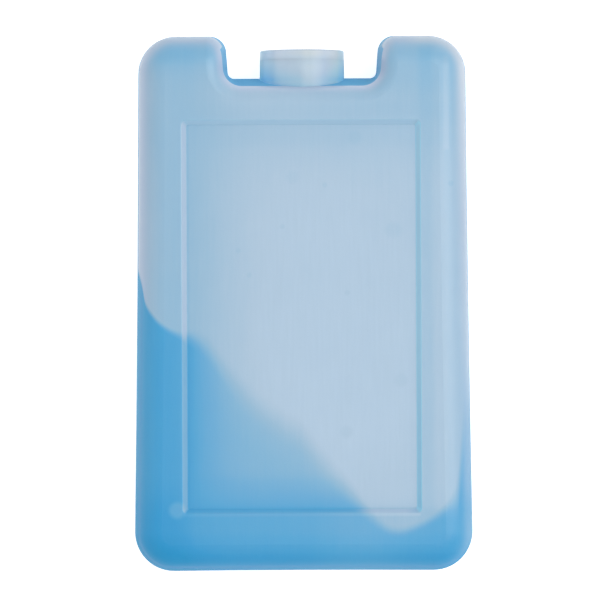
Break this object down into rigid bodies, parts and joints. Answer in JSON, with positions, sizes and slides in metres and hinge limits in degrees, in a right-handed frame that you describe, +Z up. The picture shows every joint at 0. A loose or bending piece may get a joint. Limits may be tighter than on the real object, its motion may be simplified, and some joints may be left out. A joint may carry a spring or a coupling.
{
  "type": "reusable ice pack",
  "caption": "Flat reusable ice pack: a frosted plastic shell holding blue coolant and an air bubble, with a sunk panel on each face and a plugged neck in a notch.",
  "frame": {"origin": "middle of the pack's footprint, on the surface that it lies on", "axes": "+X across the width, +Y along the length towards the neck and plug, +Z up out of the front face"},
  "size_m": [0.102, 0.1615, 0.032],
  "materials": {
    "frosted_shell": "satin",
    "frosted_plug": "satin",
    "coolant": "gloss"
  },
  "bodies": {
    "root": {"shell": "frosted_shell", "plug": "frosted_plug", "coolant": "coolant"}
  },
  "joints": []
}
